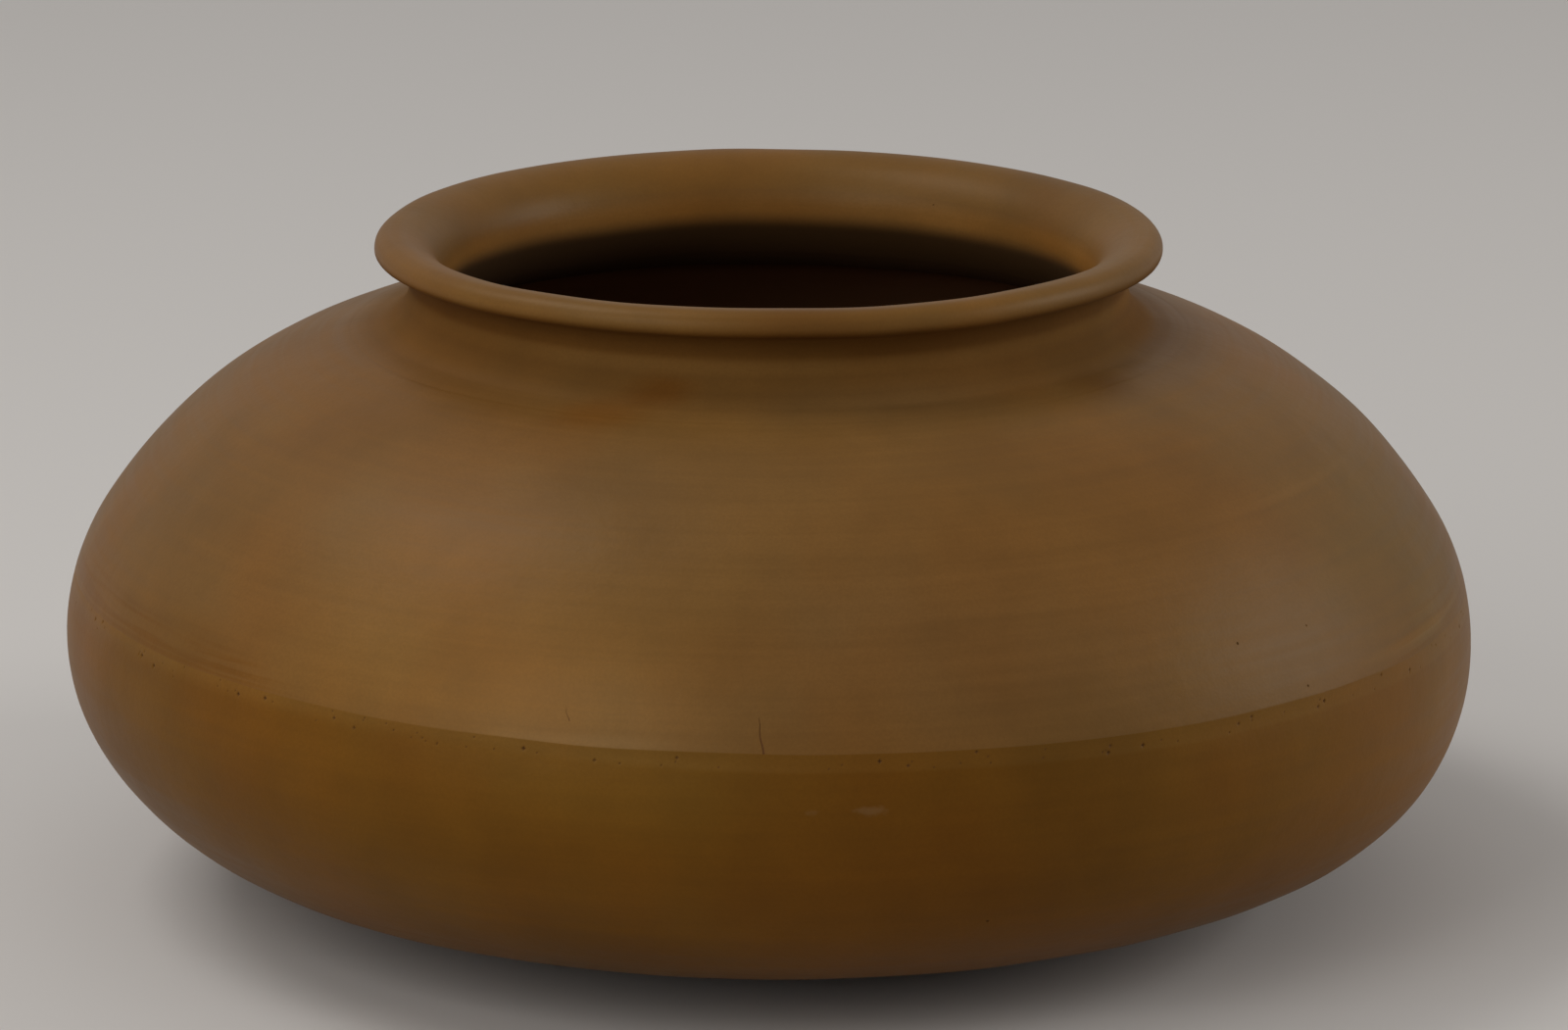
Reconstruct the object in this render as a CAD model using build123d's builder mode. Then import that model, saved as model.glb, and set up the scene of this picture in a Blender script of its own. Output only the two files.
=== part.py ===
"""Squat clay olla: a pressed bowl, two wall courses, a neck collar and a rolled lip.

The pot is drawn as one wall section of tangent arcs, from the axis under the base,
round the lip and back to the axis inside the base. Every clay piece is a stretch of
that section, cut at the joint where it was luted to the next, and turned about the axis.
The origin is the middle of the flat spot that the pot stands on, with +Z up.
"""

import os
from math import asin, cos, radians, sin, sqrt

from build123d import *

# Driving dimensions of the body, in millimetres and degrees
belly_radius = 165.0  # widest outer radius
belly_turn_radius = 50.0  # outer turn of the belly, below and above the widest level
base_flat_radius = 42.0  # flat spot under the pot
base_sag = 12.5  # drop of the flat spot below the bottom of the belly turn's circle
shoulder_angle = 32.0  # where the belly turn runs into the shoulder, above level
shoulder_radius = 101.0  # long outer arc of the shoulder
wall = 7.0  # thickness of the bowl and the wall courses

# Driving dimensions of the neck and the lip
throat_radius = 76.0  # narrowest way in
throat_edge_radius = 18.0  # rounding from the ceiling up into the throat
throat_land = 0.5  # straight stretch of the throat
neck_wall = 8.0  # thickness of the neck at the throat
neck_foot_radius = 11.0  # hollow between shoulder and neck
neck_straight = 0.9  # straight stretch outside the neck
under_lip_radius = 5.5  # hollow under the lip
lip_overhang = 8.0  # how far the lip stands out from the neck
lip_edge_radius = 1.8  # lower outer edge of the lip
lip_face = 1.2  # straight stretch of the lip's outer face
lip_crest_radius = 3.9  # round top of the lip

# Driving dimensions of the joints between the pieces
seam_rise = 13.5  # belly seam above the widest level
seam_coil_width = 4.5  # luting coil where it shows in the seam
seam_coil_root = 1.8  # luting coil at the bottom of its groove
seam_coil_depth = 3.6  # depth of the groove
seam_step = 0.5  # how far the belly course stands proud of the coil
course_rise = 49.0  # joint between the two wall courses, above the widest level
course_bevel = 40.0  # slant of that joint away from square across the wall
collar_foot = 14.0  # collar's foot on the shoulder, outside the neck
lip_seat_drop = 1.6  # lip's seat on the collar, below the lip's underside

# Heights and radii that follow
belly_height = belly_turn_radius + base_sag
neck_radius = throat_radius + neck_wall
lip_radius = neck_radius + lip_overhang
inner_belly_radius = belly_radius - wall

# Centres of the arcs, as (radius, height)
turn_centre = Vector(belly_radius - belly_turn_radius, belly_height)
shoulder_way = Vector(cos(radians(shoulder_angle)), sin(radians(shoulder_angle)))
shoulder_centre = turn_centre - shoulder_way * (shoulder_radius - belly_turn_radius)


def height_over_shoulder(radius, off):
    """Height at a radius on the shoulder's arc, moved off its outer face by off."""
    return shoulder_centre.Y + sqrt((shoulder_radius + off) ** 2 - (radius - shoulder_centre.X) ** 2)


def foot_of_arc(centre, off):
    """Point where an arc round centre touches the shoulder's arc, moved off by off."""
    way = (centre - shoulder_centre).normalized()
    return shoulder_centre + way * (shoulder_radius + off)


# Underside: one shallow arc from the flat spot, running into the belly turn
underside_reach = turn_centre.X - base_flat_radius
underside_radius = (underside_reach**2 + belly_height**2 - belly_turn_radius**2) / (2 * base_sag)
underside_centre = Vector(base_flat_radius, underside_radius)
underside_way = (turn_centre - underside_centre).normalized()
bowl_turn = turn_centre + underside_way * belly_turn_radius
inner_bowl_turn = turn_centre + underside_way * (belly_turn_radius - wall)

# Belly seam: a groove for the coil, with the edge of the belly course proud above it
seam_turn = asin(seam_rise / belly_turn_radius)
seam_out = Vector(cos(seam_turn), sin(seam_turn))
seam_up = Vector(-sin(seam_turn), cos(seam_turn))
groove_side = (seam_coil_width - seam_coil_root) / 2
groove_top = turn_centre + seam_out * belly_turn_radius
groove_bottom = groove_top - seam_up * seam_coil_width
root_top = groove_top - seam_out * seam_coil_depth - seam_up * groove_side
root_bottom = groove_bottom - seam_out * seam_coil_depth + seam_up * groove_side
root_middle = (root_top + root_bottom) * 0.5
groove_top_way = (groove_top - root_top).normalized()
groove_bottom_way = (groove_bottom - root_bottom).normalized()
seam_edge = groove_top + groove_top_way * seam_step

# Shoulder, outside and inside
shoulder_start = turn_centre + shoulder_way * belly_turn_radius
inner_shoulder_start = turn_centre + shoulder_way * (belly_turn_radius - wall)
shoulder_lean = Vector(-shoulder_way.Y, shoulder_way.X)

# Neck, outside
neck_foot_centre_radius = neck_radius + neck_foot_radius
neck_start = height_over_shoulder(neck_foot_centre_radius, neck_foot_radius)
neck_foot = foot_of_arc(Vector(neck_foot_centre_radius, neck_start), 0)
neck_end = neck_start + neck_straight

# Lip
lip_underside = neck_end + under_lip_radius
lip_widest = lip_underside + lip_edge_radius
lip_shoulder = lip_widest + lip_face
crest_centre = Vector(lip_radius - lip_crest_radius, lip_shoulder)
rim_height = lip_shoulder + lip_crest_radius

# Throat, with the flare that runs from the lip's crest down into it
throat_edge_centre_radius = throat_radius + throat_edge_radius
throat_low = height_over_shoulder(throat_edge_centre_radius, throat_edge_radius - wall)
throat_edge = foot_of_arc(Vector(throat_edge_centre_radius, throat_low), -wall)
throat_high = throat_low + throat_land
flare_width = crest_centre.X - throat_radius
flare_height = crest_centre.Y - throat_high
flare_slack = flare_width - lip_crest_radius
flare_radius = (flare_width**2 + flare_height**2 - lip_crest_radius**2) / (2 * flare_slack)
flare_centre = Vector(throat_radius + flare_radius, throat_high)
flare_way = (crest_centre - flare_centre).normalized()
flare_start = crest_centre + flare_way * lip_crest_radius

# The whole wall section, as radius and height
with BuildSketch() as wall_section:
    with BuildLine():
        flat = Line((0, 0), (base_flat_radius, 0))
        underside = TangentArc(flat @ 1, bowl_turn, tangent=(1, 0))
        bowl = TangentArc(underside @ 1, (belly_radius, belly_height), tangent=underside % 1)
        belly = TangentArc(bowl @ 1, groove_top, tangent=(0, 1))
        Line(belly @ 1, seam_edge)
        TangentArc(shoulder_start, seam_edge, tangent=-shoulder_lean)
        shoulder = TangentArc(shoulder_start, neck_foot, tangent=shoulder_lean)
        foot = TangentArc(shoulder @ 1, (neck_radius, neck_start), tangent=shoulder % 1)
        neck = Line(foot @ 1, (neck_radius, neck_end))
        hollow = TangentArc(neck @ 1, (neck_radius + under_lip_radius, lip_underside), tangent=(0, 1))
        under_lip = Line(hollow @ 1, (lip_radius - lip_edge_radius, lip_underside))
        edge = TangentArc(under_lip @ 1, (lip_radius, lip_widest), tangent=(1, 0))
        face = Line(edge @ 1, (lip_radius, lip_shoulder))
        crest = TangentArc(face @ 1, flare_start, tangent=(0, 1))
        flare = TangentArc(crest @ 1, (throat_radius, throat_high), tangent=crest % 1)
        throat = Line(flare @ 1, (throat_radius, throat_low))
        lower_edge = TangentArc(throat @ 1, throat_edge, tangent=(0, -1))
        ceiling = TangentArc(lower_edge @ 1, inner_shoulder_start, tangent=lower_edge % 1)
        inner_belly = TangentArc(ceiling @ 1, (inner_belly_radius, belly_height), tangent=ceiling % 1)
        inner_bowl = TangentArc(inner_belly @ 1, inner_bowl_turn, tangent=(0, -1))
        floor = TangentArc(inner_bowl @ 1, (base_flat_radius, wall), tangent=inner_bowl % 1)
        Line(floor @ 1, (0, wall))
        Line((0, wall), (0, 0))
    make_face()

# Joints run from outside the wall to inside it and reach well past both faces
joint_reach = 2 * wall
far_radius = belly_radius + 2 * joint_reach
far_height = rim_height + joint_reach

# Belly seam: the groove in the outer half of the wall, then a square butt joint
seam_inside = root_middle - seam_out * (wall + joint_reach)
groove_top_outside = groove_top + groove_top_way * joint_reach
groove_bottom_outside = groove_bottom + groove_bottom_way * joint_reach
bowl_rim_joint = [groove_bottom_outside, root_bottom, root_middle, seam_inside]
course_foot_joint = [groove_top_outside, root_top, root_middle, seam_inside]
luting_groove = [groove_top_outside, root_top, root_bottom, groove_bottom_outside]

# Joint of the two wall courses: bevelled, the upper course lapped inside the lower
course_turn = asin((belly_height + course_rise - shoulder_centre.Y) / shoulder_radius)
course_point = shoulder_centre + Vector(cos(course_turn), sin(course_turn)) * shoulder_radius
bevel_turn = course_turn + radians(course_bevel)
bevel_out = Vector(cos(bevel_turn), sin(bevel_turn))
bevel_length = wall / cos(radians(course_bevel))
course_joint = [
    course_point + bevel_out * joint_reach,
    course_point - bevel_out * (bevel_length + joint_reach),
]

# Level seats of the collar on the shoulder and of the lip on the collar
collar_foot_radius = neck_radius + collar_foot
collar_seat = height_over_shoulder(collar_foot_radius, 0)
lip_seat = lip_underside - lip_seat_drop
seat_inside = throat_radius - joint_reach
collar_joint = [Vector(collar_foot_radius + joint_reach, collar_seat), Vector(seat_inside, collar_seat)]
lip_joint = [Vector(lip_radius + joint_reach, lip_seat), Vector(seat_inside, lip_seat)]


def region_above(joint):
    """Outline of everything above a joint, from the axis to well outside the belly."""
    return [
        *joint,
        Vector(0, joint[-1].Y),
        Vector(0, far_height),
        Vector(far_radius, far_height),
        Vector(far_radius, joint[0].Y),
    ]


os.makedirs("parts", exist_ok=True)

# Lower bowl: a slab of clay pressed into a shallow mould, up to the belly seam
with BuildPart() as lower_bowl:
    with BuildSketch(Plane.XZ):
        add(wall_section.sketch)
        Polygon(*region_above(bowl_rim_joint), align=None, mode=Mode.SUBTRACT)
    revolve(axis=Axis.Z)
lower_bowl.part.label = "lower_bowl"
export_step(lower_bowl.part, "parts/lower_bowl.step")

# Seam coil: thin coil of soft clay that fills the groove of the belly seam
with BuildPart() as seam_coil:
    with BuildSketch(Plane.XZ):
        add(wall_section.sketch)
        Polygon(*luting_groove, align=None, mode=Mode.INTERSECT)
    revolve(axis=Axis.Z)
seam_coil.part.label = "seam_coil"
export_step(seam_coil.part, "parts/seam_coil.step")

# Belly course: first ring of wall, standing on the bowl's rim
with BuildPart() as belly_course:
    with BuildSketch(Plane.XZ):
        add(wall_section.sketch)
        Polygon(*region_above(course_foot_joint), align=None, mode=Mode.INTERSECT)
        Polygon(*region_above(course_joint), align=None, mode=Mode.SUBTRACT)
    revolve(axis=Axis.Z)
belly_course.part.label = "belly_course"
export_step(belly_course.part, "parts/belly_course.step")

# Shoulder course: second ring of wall, closing in to the mouth
with BuildPart() as shoulder_course:
    with BuildSketch(Plane.XZ):
        add(wall_section.sketch)
        Polygon(*region_above(course_joint), align=None, mode=Mode.INTERSECT)
        Polygon(*region_above(collar_joint), align=None, mode=Mode.SUBTRACT)
    revolve(axis=Axis.Z)
shoulder_course.part.label = "shoulder_course"
export_step(shoulder_course.part, "parts/shoulder_course.step")

# Neck collar: set on the cut edge of the mouth, its foot smoothed out over the shoulder
with BuildPart() as neck_collar:
    with BuildSketch(Plane.XZ):
        add(wall_section.sketch)
        Polygon(*region_above(collar_joint), align=None, mode=Mode.INTERSECT)
        Polygon(*region_above(lip_joint), align=None, mode=Mode.SUBTRACT)
    revolve(axis=Axis.Z)
neck_collar.part.label = "neck_collar"
export_step(neck_collar.part, "parts/neck_collar.step")

# Lip coil: last coil, laid on the collar and rolled outward over the neck
with BuildPart() as lip_coil:
    with BuildSketch(Plane.XZ):
        add(wall_section.sketch)
        Polygon(*region_above(lip_joint), align=None, mode=Mode.INTERSECT)
    revolve(axis=Axis.Z)
lip_coil.part.label = "lip_coil"
export_step(lip_coil.part, "parts/lip_coil.step")

print(f"height {rim_height:.2f} mm, belly diameter {2 * belly_radius:.1f} mm")
print(f"lip diameter {2 * lip_radius:.1f} mm, throat diameter {2 * throat_radius:.1f} mm")
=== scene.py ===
"""Squat burnished clay olla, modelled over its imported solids.

Each clay piece is drawn as its own wall section in edit mode, turned about the pot's axis
and cut at the same luted joints as the solids. One shaping cage then takes every piece a
little out of true, as a pot built by hand is, so the pieces still meet.
"""

from math import asin, atan2, cos, pi, radians, sin, sqrt, tan
from random import Random

import bmesh
import bpy
from bpy.props import FloatProperty, FloatVectorProperty, IntProperty, PointerProperty
from bpy.types import NodeSocket, Operator, Panel, PropertyGroup, Scene
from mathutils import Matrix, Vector
from mathutils.kdtree import KDTree


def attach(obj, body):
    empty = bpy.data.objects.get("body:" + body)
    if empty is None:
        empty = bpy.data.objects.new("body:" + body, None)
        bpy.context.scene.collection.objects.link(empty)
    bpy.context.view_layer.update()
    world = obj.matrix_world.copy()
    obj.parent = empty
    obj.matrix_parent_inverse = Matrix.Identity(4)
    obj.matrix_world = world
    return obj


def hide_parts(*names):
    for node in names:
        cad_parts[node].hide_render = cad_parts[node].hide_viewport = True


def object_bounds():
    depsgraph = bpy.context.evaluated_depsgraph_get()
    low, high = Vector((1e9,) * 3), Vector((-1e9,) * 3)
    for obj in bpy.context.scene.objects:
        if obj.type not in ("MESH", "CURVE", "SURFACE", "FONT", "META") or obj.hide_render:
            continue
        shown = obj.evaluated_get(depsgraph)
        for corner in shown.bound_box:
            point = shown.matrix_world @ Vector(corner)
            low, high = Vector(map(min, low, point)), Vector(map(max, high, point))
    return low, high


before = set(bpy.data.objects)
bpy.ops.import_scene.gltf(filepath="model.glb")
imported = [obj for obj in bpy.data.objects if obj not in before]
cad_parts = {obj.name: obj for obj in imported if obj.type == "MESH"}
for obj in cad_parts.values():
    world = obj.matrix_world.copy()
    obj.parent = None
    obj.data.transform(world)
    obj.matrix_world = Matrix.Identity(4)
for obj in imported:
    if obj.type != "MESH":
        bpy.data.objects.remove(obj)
cad_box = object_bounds()

bl_info = {
    "name": "Burnished clay olla",
    "version": (1, 0, 0),
    "blender": (4, 5, 0),
    "location": "3D View > Sidebar > Olla",
    "description": "Models a hand-built clay olla over its packed solids",
    "category": "Add Mesh",
}


def setting(kind, **limits):
    """Returns a maker of settings of one kind, each from a name, a description and a default."""

    def make(name, description, default):
        return kind(name=name, description=description, default=default, **limits)

    return make


# Lengths are in metres, angles in radians, powers in watts, and colours are linear
length = setting(FloatProperty, unit="LENGTH", precision=5)
angle = setting(FloatProperty, subtype="ANGLE")
count = setting(IntProperty, min=1)
share = setting(FloatProperty, subtype="FACTOR", min=0, max=1)
power = setting(FloatProperty, unit="POWER", min=0)
colour = setting(FloatVectorProperty, subtype="COLOR", min=0, max=1)


class OllaBody(PropertyGroup):
    """Sizes of the bowl, the belly and the shoulder."""

    belly_radius: length("Belly radius", "Widest outer radius", cad_box[1][0])
    belly_turn: length("Belly turn", "Outer turn of the belly at its widest level", 0.050)
    base_flat: length("Base flat", "Radius of the flat spot under the pot", 0.042)
    base_sag: length("Base sag", "Drop of the flat spot below the belly turn's circle", 0.0125)
    shoulder_angle: angle("Shoulder angle", "Where the belly turn runs into the shoulder", radians(32))
    shoulder_radius: length("Shoulder radius", "Long outer arc of the shoulder", 0.101)
    wall: length("Wall", "Thickness of the bowl and the courses", 0.007)


class OllaMouth(PropertyGroup):
    """Sizes of the neck and the lip."""

    throat_radius: length("Throat radius", "Narrowest way in", 0.076)
    throat_edge: length("Throat edge", "Rounding from the ceiling up into the throat", 0.018)
    throat_land: length("Throat land", "Straight stretch of the throat", 0.0005)
    neck_wall: length("Neck wall", "Thickness of the neck at the throat", 0.008)
    neck_foot: length("Neck foot", "Hollow between the shoulder and the neck", 0.011)
    neck_straight: length("Neck straight", "Straight stretch outside the neck", 0.0009)
    under_lip: length("Under lip", "Hollow under the lip", 0.0058)
    lip_overhang: length("Lip overhang", "How far the lip stands out from the neck", 0.008)
    lip_edge: length("Lip edge", "Rounding of the lip's lower outer edge", 0.0018)
    lip_face: length("Lip face", "Straight stretch of the lip's outer face", 0.0003)
    lip_crest: length("Lip crest", "Rounding of the top of the lip", 0.0039)


class OllaJoints(PropertyGroup):
    """Sizes of the luted joints between the clay pieces."""

    seam_rise: length("Seam rise", "Belly seam above the widest level", 0.0135)
    coil_width: length("Coil width", "Luting coil where it shows", 0.0045)
    coil_root: length("Coil root", "Luting coil at the bottom of its groove", 0.0018)
    coil_depth: length("Coil depth", "Depth of the coil's groove", 0.0036)
    seam_step: length("Seam step", "Belly course proud of the bowl", 0.0005)
    seam_round: length("Seam round", "Rounding of the belly course's edge", 0.002)
    course_rise: length("Course rise", "Joint of the two courses above the widest level", 0.049)
    course_bevel: angle("Course bevel", "Slant of that joint away from square", radians(40))
    collar_foot: length("Collar foot", "Collar's foot, outside the neck", 0.014)
    lip_seat_drop: length("Lip seat drop", "Lip's seat below the lip's underside", 0.0016)


class OllaHand(PropertyGroup):
    """How far the hand-built pot is out of true."""

    seam_tilt: angle("Seam tilt", "Tilt of the seam, left side up", radians(0.85))
    body_tilt: angle("Body tilt", "Tilt of the wall above it, left side up", radians(0.15))
    shoulder_rise: length("Shoulder rise", "Fullness of the shoulder over its true arc", 0.0011)
    bowl_swell: length("Bowl swell", "Fullness of the bowl over its true arc", 0.0007)
    rim_rise: length("Rim rise", "Rise of the rim at the back", 0.0004)
    rim_dip: length("Rim dip", "Sinking of the rim at both sides", 0.0008)
    bowl_shift: length("Bowl shift", "Sideways shift of the base", 0.003)
    seam_rub: share("Seam rub", "Rubbing of the seam's edge, not in front", 0.9)
    lump_size: length("Lump size", "Width of the soft lumps", 0.05)
    lump_depth: length("Lump depth", "Height of the soft lumps", 0.0009)
    pit_count: count("Pit count", "Pits in the seam coil, all round", 190)
    pit_radius: length("Pit radius", "Radius of the largest pits", 0.0004)
    pit_depth: length("Pit depth", "Depth of the largest pits", 0.00035)
    crack_bearing: angle("Crack bearing", "Crack's foot, to the right of the front", radians(-0.35))
    crack_length: length("Crack length", "Drying crack above the seam", 0.0076)
    crack_width: length("Crack width", "Width of the drying crack at the seam", 0.0005)
    crack_depth: length("Crack depth", "Depth of the drying crack", 0.0002)
    hairline_bearing: angle("Hairline bearing", "Hairline, to the right of the front", radians(-15.6))
    hairline_rise: length("Hairline rise", "Foot of the hairline crack above the seam", 0.005)


class OllaClay(PropertyGroup):
    """Colours of the fired clay, with painted shade under the throat and in the pits."""

    wall_colour: colour("Wall", "Burnished clay of the walls", (0.18, 0.082, 0.0175))
    lip_colour: colour("Lip", "Burnished clay of the lip", (0.18, 0.082, 0.016))
    bowl_colour: colour("Bowl", "Burnished clay below the seam", (0.168, 0.067, 0.005))
    seam_colour: colour("Seam", "Pitted clay of the seam coil", (0.19, 0.084, 0.012))
    inside_colour: colour("Inside", "Bare clay inside the pot", (0.215, 0.116, 0.055))
    # Painted shade under the throat, where little light reaches inside
    painted_throat_shade_colour: colour("Shade", "Shaded clay under the throat", (0.04, 0.0175, 0.0045))
    # Dark pit colour is painted shade in the pits; the crack's torn clay is a lighter share of it
    pit_shade_colour: colour("Pit", "Clay in a pit or crack", (0.095, 0.037, 0.007))
    dust_colour: colour("Dust", "Pale dust in a scuff", (0.33, 0.23, 0.13))
    sheen_colour: colour("Sheen colour", "Tint of the sheen", (1.0, 0.82, 0.58))
    burnish: share("Burnish", "Roughness of the burnished clay", 0.44)
    sheen: share("Sheen", "Strength of the sheen", 0.22)


class OllaStage(PropertyGroup):
    """Camera, lamps and floor."""

    camera_distance: length("Camera distance", "Level distance from the pot's axis", 1.85)
    camera_height: length("Camera height", "Height above the floor", 0.5582)
    camera_pitch: angle("Camera pitch", "Downward tilt", radians(14.2547))
    camera_yaw: angle("Camera yaw", "Turn to the right of the pot's axis", radians(0.1109))
    lens: length("Lens", "Focal length on a 36 mm sensor", 0.18602)
    front_power: power("Front lamp", "Large soft lamp at the front left", 10.5)
    high_power: power("High lamp", "Large soft lamp high up at the left", 11.0)
    right_power: power("Right lamp", "Large soft lamp at the right", 10.2)
    ambience: share("Ambience", "Even light from all round", 0.32)
    floor_colour: colour("Floor", "Floor as the camera sees it", (0.70, 0.665, 0.63))
    bounce_colour: colour("Bounce", "Floor as the pot is lit by it", (0.42, 0.40, 0.375))
    backdrop_colour: colour("Backdrop", "What the camera sees past the floor", (0.42, 0.40, 0.375))


class Pot:
    """Plan of the pot: its settings, and points and arc centres of its wall as (radius, height)."""

    def __init__(self, scene):
        self.hand = scene.olla_hand
        self.clay = scene.olla_clay
        self.body = body = scene.olla_body
        self.mouth = mouth = scene.olla_mouth
        joints = scene.olla_joints
        wall = body.wall
        inner_turn = body.belly_turn - wall
        self.belly_height = body.belly_turn + body.base_sag

        # Belly turn, shoulder and underside
        self.turn_centre = Vector((body.belly_radius - body.belly_turn, self.belly_height))
        out = Vector((cos(body.shoulder_angle), sin(body.shoulder_angle)))
        self.shoulder_centre = self.turn_centre - out * (body.shoulder_radius - body.belly_turn)
        self.shoulder_start = self.turn_centre + out * body.belly_turn
        self.inner_shoulder_start = self.turn_centre + out * inner_turn
        reach = self.turn_centre.x - body.base_flat
        under = (reach**2 + self.belly_height**2 - body.belly_turn**2) / (2 * body.base_sag)
        self.under_centre = Vector((body.base_flat, under))
        down = (self.turn_centre - self.under_centre).normalized()
        self.bowl_turn = self.turn_centre + down * body.belly_turn
        self.inner_bowl_turn = self.turn_centre + down * inner_turn

        # Belly seam, with the belly course proud of the coil
        turn = asin(joints.seam_rise / body.belly_turn)
        seam_out = Vector((cos(turn), sin(turn)))
        seam_up = Vector((-sin(turn), cos(turn)))
        side = (joints.coil_width - joints.coil_root) / 2
        self.groove_top = self.turn_centre + seam_out * body.belly_turn
        groove_bottom = self.groove_top - seam_up * joints.coil_width
        self.root_top = self.groove_top - seam_out * joints.coil_depth - seam_up * side
        self.root_bottom = groove_bottom - seam_out * joints.coil_depth + seam_up * side
        self.root_middle = (self.root_top + self.root_bottom) / 2
        top_way = (self.groove_top - self.root_top).normalized()
        self.seam_edge = self.groove_top + top_way * joints.seam_step
        bottom_way = groove_bottom - self.root_bottom
        self.bowl_rim = meet_arc(self.root_bottom, bottom_way, self.turn_centre, body.belly_turn)
        self.seam_inner = meet_arc(self.root_middle, -seam_out, self.turn_centre, inner_turn, first=True)
        chord = self.seam_edge - self.shoulder_start
        self.brow_centre = self.shoulder_start + out * (chord.length_squared / (2 * chord.dot(out)))
        self.brow_radius = (self.seam_edge - self.brow_centre).length

        # The coil sweeps up to that edge without a break from the bowl, and the edge is rounded over
        away = (self.bowl_rim - self.turn_centre).normalized()
        rise = self.seam_edge - self.bowl_rim
        sweep = rise.length_squared / (2 * rise.dot(away))
        arm = self.brow_radius - joints.seam_round
        self.sweep_centre = self.bowl_rim + away * sweep
        self.edge_round = meet_circles(self.sweep_centre, sweep + joints.seam_round, self.brow_centre, arm)
        self.coil_top = self.sweep_centre + (self.edge_round - self.sweep_centre).normalized() * sweep
        self.brow_low = self.brow_centre + (self.edge_round - self.brow_centre) * (self.brow_radius / arm)
        self.seam_joint = meet_arc(self.root_top, top_way, self.edge_round, joints.seam_round)

        # Joint of the two wall courses
        course_height = self.belly_height + joints.course_rise
        turn = asin((course_height - self.shoulder_centre.y) / body.shoulder_radius)
        self.course_point = self.shoulder_centre + Vector((cos(turn), sin(turn))) * body.shoulder_radius
        bevel = turn + joints.course_bevel
        slant = -Vector((cos(bevel), sin(bevel)))
        inner = body.shoulder_radius - wall
        self.course_inner = meet_arc(self.course_point, slant, self.shoulder_centre, inner, first=True)

        # Neck, outside
        self.neck_radius = mouth.throat_radius + mouth.neck_wall
        foot_radius = self.neck_radius + mouth.neck_foot
        self.neck_start = self.over_shoulder(foot_radius, mouth.neck_foot)
        self.foot_centre = Vector((foot_radius, self.neck_start))
        self.neck_foot = self.touch_shoulder(self.foot_centre, 0)
        self.neck_end = self.neck_start + mouth.neck_straight

        # Lip
        self.hollow_centre = Vector((self.neck_radius + mouth.under_lip, self.neck_end))
        self.lip_underside = self.neck_end + mouth.under_lip
        self.lip_radius = self.neck_radius + mouth.lip_overhang
        self.edge_centre = Vector((self.lip_radius - mouth.lip_edge, self.lip_underside + mouth.lip_edge))
        lip_top = self.edge_centre.y + mouth.lip_face
        self.crest_centre = Vector((self.lip_radius - mouth.lip_crest, lip_top))
        self.rim_height = lip_top + mouth.lip_crest

        # Throat, with the flare that runs from the lip's crest down into it
        throat_edge_radius = mouth.throat_radius + mouth.throat_edge
        self.throat_low = self.over_shoulder(throat_edge_radius, mouth.throat_edge - wall)
        self.throat_centre = Vector((throat_edge_radius, self.throat_low))
        self.throat_edge = self.touch_shoulder(self.throat_centre, -wall)
        self.throat_high = self.throat_low + mouth.throat_land
        width = self.crest_centre.x - mouth.throat_radius
        height = self.crest_centre.y - self.throat_high
        flare = (width**2 + height**2 - mouth.lip_crest**2) / (2 * (width - mouth.lip_crest))
        self.flare_centre = Vector((mouth.throat_radius + flare, self.throat_high))
        flare_way = (self.crest_centre - self.flare_centre).normalized()
        self.flare_start = self.crest_centre + flare_way * mouth.lip_crest

        # Level seats of the collar and the lip
        level = Vector((-1, 0))
        collar_radius = self.neck_radius + joints.collar_foot
        self.collar_outer = Vector((collar_radius, self.over_shoulder(collar_radius, 0)))
        self.collar_inner = meet_arc(self.collar_outer, level, self.throat_centre, mouth.throat_edge)
        seat = Vector((self.lip_radius, self.lip_underside - joints.lip_seat_drop))
        self.seat_outer = meet_arc(seat, level, self.hollow_centre, mouth.under_lip)
        self.seat_inner = meet_arc(seat, level, self.flare_centre, flare)

    def over_shoulder(self, radius, off):
        """Height at a radius on the shoulder's arc, moved off its outer face by off."""
        rise = sqrt((self.body.shoulder_radius + off) ** 2 - (radius - self.shoulder_centre.x) ** 2)
        return self.shoulder_centre.y + rise

    def over_brow(self, height):
        """Radius at a height on the belly course's outer face, near the seam."""
        return self.brow_centre.x + sqrt(self.brow_radius**2 - (height - self.brow_centre.y) ** 2)

    def touch_shoulder(self, centre, off):
        """Point where an arc round centre touches the shoulder's arc, moved off by off."""
        way = (centre - self.shoulder_centre).normalized()
        return self.shoulder_centre + way * (self.body.shoulder_radius + off)


def meet_arc(start, way, centre, radius, first=False):
    """Point where a line from start along way meets a circle, the first meeting or the last."""
    way = way.normalized()
    arm = start - centre
    along = arm.dot(way)
    half = sqrt(along**2 - arm.length_squared + radius**2)
    if first and half <= -along:
        half = -half
    return start + way * (half - along)


def meet_circles(first, first_radius, second, second_radius):
    """Point where two circles meet, on the right of the way from the first centre to the second."""
    gap = second - first
    along = (gap.length_squared + first_radius**2 - second_radius**2) / (2 * gap.length)
    aside = sqrt(first_radius**2 - along**2)
    way = gap.normalized()
    return first + way * along + Vector((way.y, -way.x)) * aside


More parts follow.
